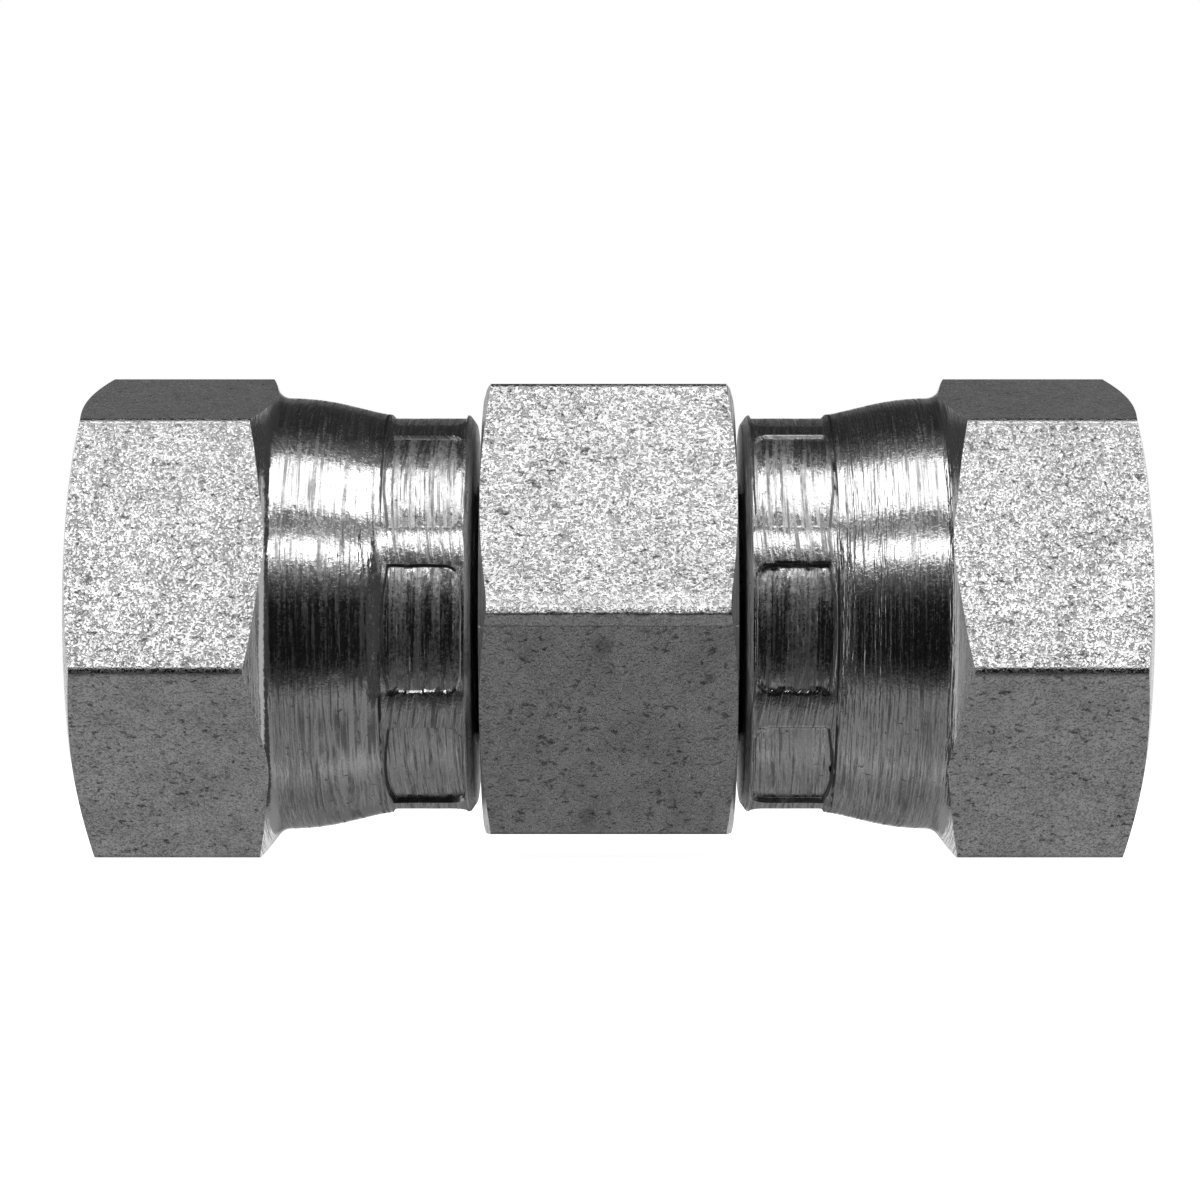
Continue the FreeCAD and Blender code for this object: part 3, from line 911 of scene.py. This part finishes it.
# angles here are above the camera's own line of sight, about the union's axis
studio = {
    "reach": 0.5,                    # from the axis to the lamps
    "length": 0.55,
    "overhead": (57, 89.5, 0.65),    # from, to, brightness
    "front": (29, 39.5, 1.0),
    "surround": [                    # angle and brightness of what the steel mirrors elsewhere
        (-180, 0.5), (-168, 0.5), (-162, 0.16), (-130, 0.15), (-112, 0.12), (-98, 0.17),
        (-92, 0.21), (-86, 0.16), (-78, 0.14), (-55, 0.12), (-47, 0.14), (-42, 0.1), (-37, 0.035),
        (-30, 0.012), (-26, 0.005), (6, 0.005), (16, 0.04), (25, 0.12), (29, 0.5), (39, 0.5),
        (43, 0.2), (48, 0.13), (54, 0.13), (58, 0.6), (88, 0.6), (93, 0.12), (104, 0.05),
        (114, 0.02), (136, 0.025), (148, 0.035), (156, 0.1), (164, 0.1), (172, 0.5), (180, 0.5)],
    "sideways": [(0, 1), (0.02, 1), (0.05, 1.4), (0.1, 1.75), (0.2, 1.8)],   # how it brightens along X
    "sides": 0.05,                   # brightness beyond both ends of the lamps
    "ends": (0.36, 0.5),             # radius and brightness of the round papers that close the drum
    "worldLight": 0.5,
    "floorWhiteness": 0.9,
    "floorReach": 4,
    "floorGap": 0.00002,             # keeps the floor clear of the union's lowest flat
}
view = {
    "elevation": -2.3,
    "distance": 0.217,
    "lens": 105,
    "shiftX": -0.0072,
    "shiftY": 0.01125,
}


def placeAt(angle, reach):
    # a place round the axis at an angle above the camera's line of sight
    above = math.radians(angle + view["elevation"])
    return Vector((0, -math.cos(above), math.sin(above))) * reach


def addLamp(name, span):
    start, end, brightness = span
    reach = studio["reach"]
    data = bpy.data.lights.new(name, "AREA")
    data.shape = "RECTANGLE"
    data.size = studio["length"]
    data.size_y = 2 * reach * slope((end - start) / 2)
    data.energy = brightness * math.pi * data.size * data.size_y
    lamp = bpy.data.objects.new(name, data)
    bpy.context.scene.collection.objects.link(lamp)
    lamp.location = placeAt((start + end) / 2, reach)
    lamp.rotation_euler = (math.radians(90 - (start + end) / 2 - view["elevation"]), 0, 0)
    lamp.visible_camera = False


def addSurround():
    # a closed drum of glowing paper round the axis, which only reflections show
    bm = bmesh.new()
    first = placeAt(-180, studio["reach"] * 1.1)
    half = studio["length"] / 2
    edge, end = half * 1.1, half * 1.5         # where the glow has fallen off, and where the drum ends
    rows = [along for along, _ in studio["sideways"][1:]] + [half, edge, end]
    line = [bm.verts.new(first + Vector((along, 0, 0)))
            for along in [-along for along in reversed(rows)] + rows]
    paperRadius, paperGlow = studio["ends"]
    inward = first.normalized() * paperRadius
    papers = [[bm.verts.new(inward * share + Vector((along, 0, 0))) for share in (0, 0.9, 1)]
              for along in (-end, end)]
    line = papers[0] + line + papers[1][::-1]
    for before, after in zip(line, line[1:]):
        bm.edges.new((before, after))
    bmesh.ops.spin(bm, geom=bm.verts[:] + bm.edges[:], cent=(0, 0, 0), axis=(-1, 0, 0),
                   dvec=(0, 0, 0), angle=2 * math.pi, steps=180, use_merge=True)
    bmesh.ops.remove_doubles(bm, verts=bm.verts, dist=1e-6)
    glow = bm.verts.layers.float.new("glow")
    for vert in bm.verts:
        angle = math.degrees(math.atan2(vert.co.z, -vert.co.y)) - view["elevation"]
        along = abs(vert.co.x)
        if along < (half + edge) / 2:
            around = between(studio["surround"], (angle + 180) % 360 - 180)
            vert[glow] = around * between(studio["sideways"], along)
        else:
            onPaper = vert.co.yz.length < paperRadius * 0.95
            vert[glow] = paperGlow if onPaper else studio["sides"]
    mesh = bpy.data.meshes.new("surround")
    bm.to_mesh(mesh)
    bm.free()
    material = bpy.data.materials.new("glowing paper")
    material.use_nodes = True
    tree = material.node_tree
    tree.nodes.clear()
    brightness = addNode(tree, "ShaderNodeAttribute", attribute_name="glow")
    paper = addNode(tree, "ShaderNodeEmission")
    tree.links.new(brightness.outputs["Fac"], paper.inputs["Strength"])
    out = addNode(tree, "ShaderNodeOutputMaterial")
    tree.links.new(paper.outputs[0], out.inputs["Surface"])
    mesh.materials.append(material)
    surround = bpy.data.objects.new("surround", mesh)
    bpy.context.scene.collection.objects.link(surround)
    surround.visible_camera = False
    surround.visible_shadow = False
    surround.visible_diffuse = False


def isBackgroundRay(tree):
    path = addNode(tree, "ShaderNodeLightPath")
    seen = most(tree, path.outputs["Is Camera Ray"], path.outputs["Is Glossy Ray"])
    return most(tree, seen, path.outputs["Is Transmission Ray"])


def makeWorld():
    world = bpy.data.worlds.new("white studio")
    bpy.context.scene.world = world
    world.use_nodes = True
    tree = world.node_tree
    background = next(node for node in tree.nodes if node.type == "BACKGROUND")
    background.inputs["Color"].default_value = (1, 1, 1, 1)
    strength = ramp(tree, isBackgroundRay(tree), 0, 1, studio["worldLight"], 1.0)
    tree.links.new(strength, background.inputs["Strength"])


def makeFloor():
    bm = bmesh.new()
    bmesh.ops.create_grid(bm, x_segments=1, y_segments=1, size=studio["floorReach"])
    bmesh.ops.translate(bm, vec=(0, 0, cadBox[0].z - studio["floorGap"]), verts=bm.verts)
    mesh = bpy.data.meshes.new("floor")
    bm.to_mesh(mesh)
    bm.free()
    material = bpy.data.materials.new("pale floor")
    material.use_nodes = True
    tree = material.node_tree
    shader = next(node for node in tree.nodes if node.type == "BSDF_PRINCIPLED")
    shader.inputs["Base Color"].default_value = (0.9, 0.9, 0.9, 1)
    shader.inputs["Roughness"].default_value = 0.9
    shader.inputs["Specular IOR Level"].default_value = 0.0
    shader.inputs["Emission Color"].default_value = (1, 1, 1, 1)
    tree.links.new(times(tree, isBackgroundRay(tree), studio["floorWhiteness"]),
                   shader.inputs["Emission Strength"])
    mesh.materials.append(material)
    floor = bpy.data.objects.new("floor", mesh)
    bpy.context.scene.collection.objects.link(floor)
    floor.visible_glossy = False


def makeCamera():
    data = bpy.data.cameras.new("camera")
    data.lens = view["lens"]
    data.shift_x, data.shift_y = view["shiftX"], view["shiftY"]
    data.clip_start = 0.01
    camera = bpy.data.objects.new("camera", data)
    bpy.context.scene.collection.objects.link(camera)
    camera.location = placeAt(0, view["distance"])
    camera.rotation_euler = (math.radians(90 - view["elevation"]), 0, 0)
    bpy.context.scene.camera = camera


for name in ("overhead", "front"):
    addLamp(name + " lamp", studio[name])
addSurround()
makeWorld()
makeFloor()
makeCamera()
bpy.context.scene.view_settings.view_transform = "Standard"
print("studio made")
